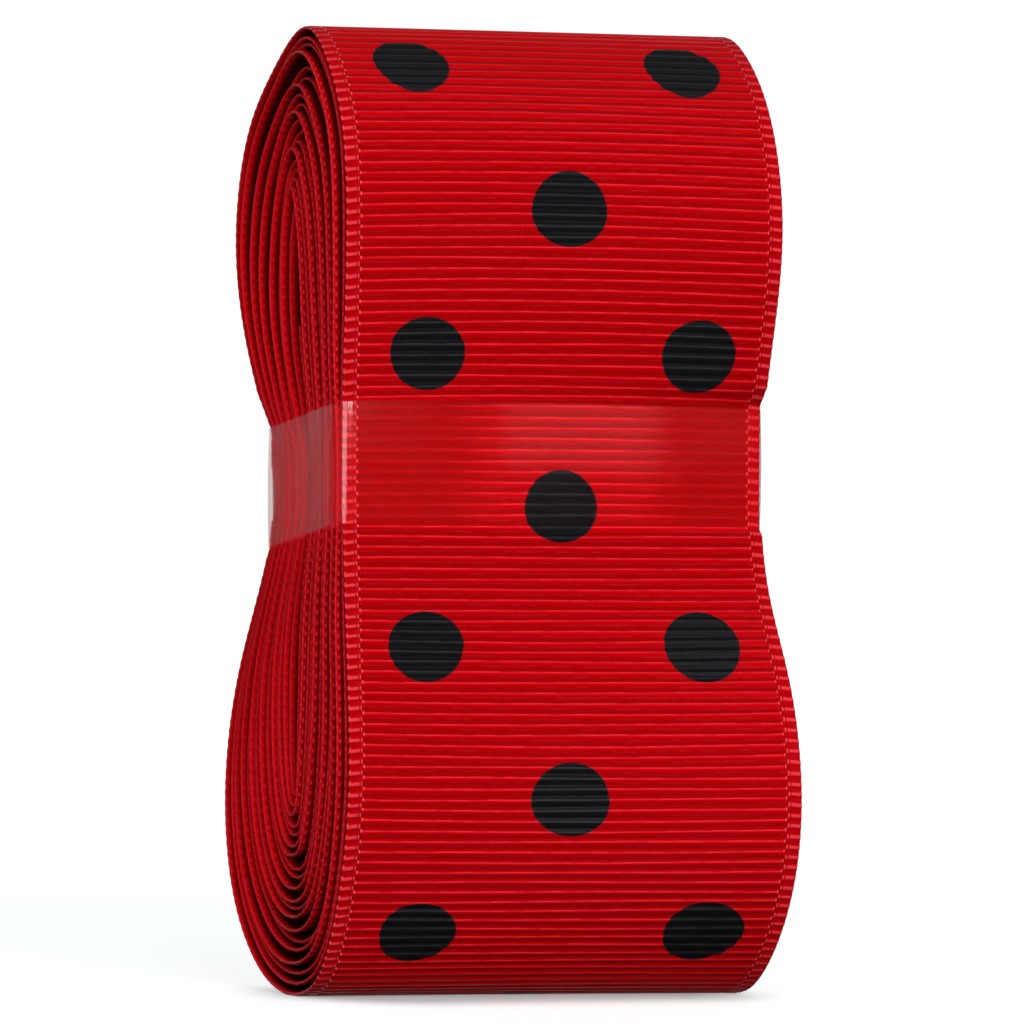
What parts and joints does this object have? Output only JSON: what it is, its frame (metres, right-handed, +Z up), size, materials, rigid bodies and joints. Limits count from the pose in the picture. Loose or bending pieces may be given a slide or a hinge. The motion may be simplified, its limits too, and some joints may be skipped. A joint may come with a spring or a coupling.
{
  "type": "banded coil of grosgrain ribbon",
  "caption": "Wide ribbed ribbon with a dotted print, wound flat into a waisted coil that stands on end, with a clear band round its middle.",
  "frame": {"origin": "on the surface that the coil stands on, below the middle of its box", "axes": "+X along the ribbon's width to the right, -Y out of the coil's front, +Z up"},
  "size_m": [0.0408, 0.0346, 0.0802],
  "materials": {
    "ribbon": "ribbed polyester weave with a soft sheen and printed black dots",
    "clear_band": "clear glossy film, slightly milky"
  },
  "bodies": {
    "root": {"ribbon_coil": "ribbon", "band": "clear_band"}
  },
  "joints": []
}
